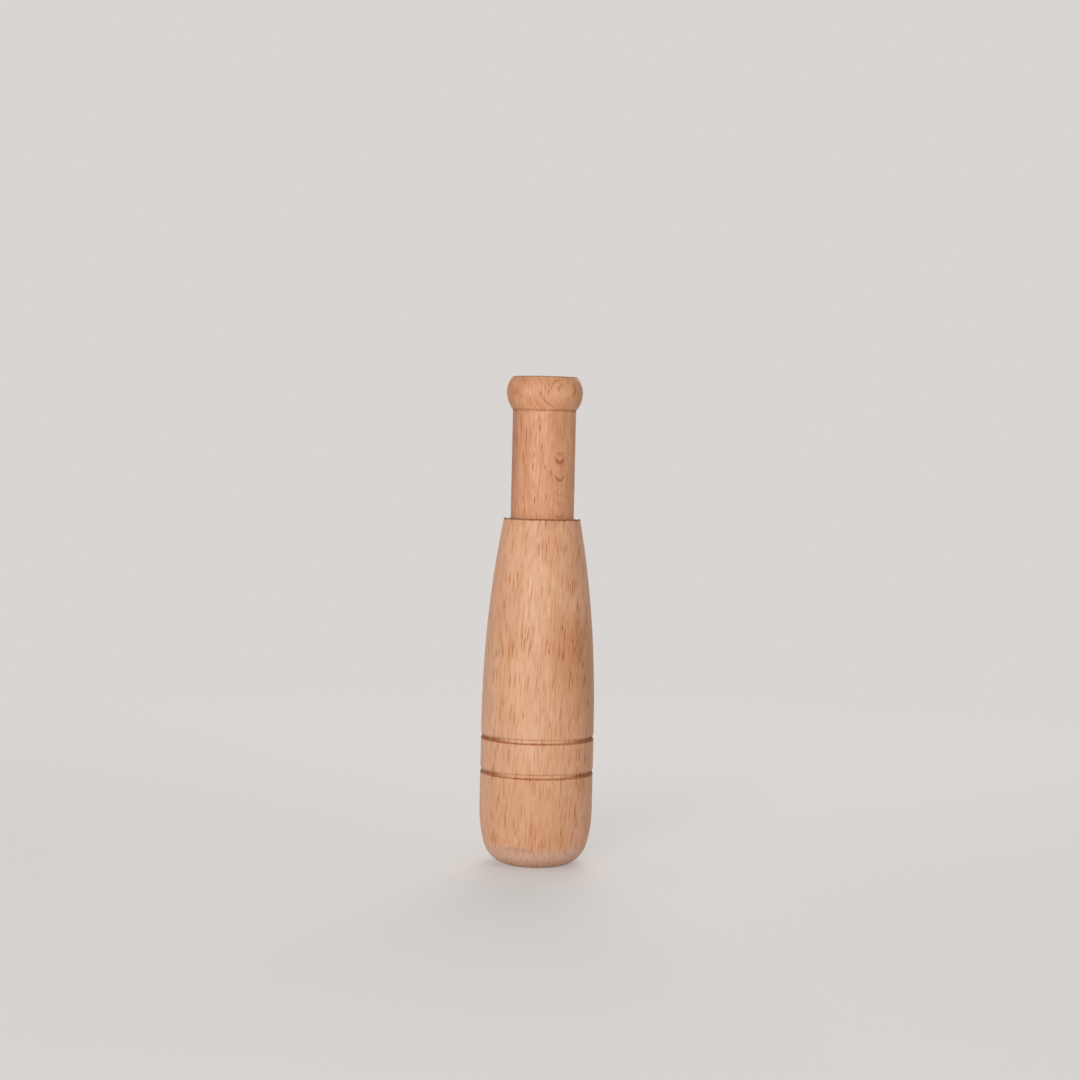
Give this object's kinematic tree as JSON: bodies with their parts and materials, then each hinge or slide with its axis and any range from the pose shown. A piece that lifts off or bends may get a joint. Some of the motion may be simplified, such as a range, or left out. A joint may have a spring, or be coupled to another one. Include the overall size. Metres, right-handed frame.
{
  "type": "bird call",
  "caption": "Turned beech duck call: a bored barrel with a rounded lip and burnt grooves, and a beaded push-in insert that carries the tone board, reed, wedge and seal.",
  "frame": {"origin": "centre of the barrel's lip end, on the plane that the call stands on", "axes": "+Z along the call's axis, from the blown lip up to the bead; the reed faces -Y, which is the side towards the camera"},
  "size_m": [0.0286, 0.0286, 0.1233],
  "materials": {
    "barrel_beech": "turned and oiled, satin, with burnt grooves",
    "insert_beech": "turned and oiled, satin",
    "seal_rubber": "moulded, matt",
    "board_plastic": "moulded, matt",
    "reed_film": "frosted polyester film",
    "wedge_cork": "cut cork"
  },
  "bodies": {
    "barrel": {"barrel": "barrel_beech"},
    "seal_ring": {"seal_ring": "seal_rubber"},
    "insert": {"insert": "insert_beech", "tone_board": "board_plastic", "reed_wedge": "wedge_cork"},
    "reed": {"reed": "reed_film"}
  },
  "joints": [
    {"name": "insert_pull", "type": "slide", "parent": "barrel", "child": "seal_ring", "axis": [0, 0, 1], "range_m": [0, 0.068]},
    {"name": "insert_turn", "type": "hinge", "parent": "seal_ring", "child": "insert", "pos_m": [0, 0, 0.0796], "axis": [0, 0, 1], "continuous": true},
    {"name": "reed_flex", "type": "hinge", "parent": "insert", "child": "reed", "pos_m": [0, -0.00077, 0.0525], "axis": [1, 0, 0], "range_deg": [-3, 2], "stiffness_Nm_per_rad": 0.0075, "deforming": ["reed"]}
  ]
}
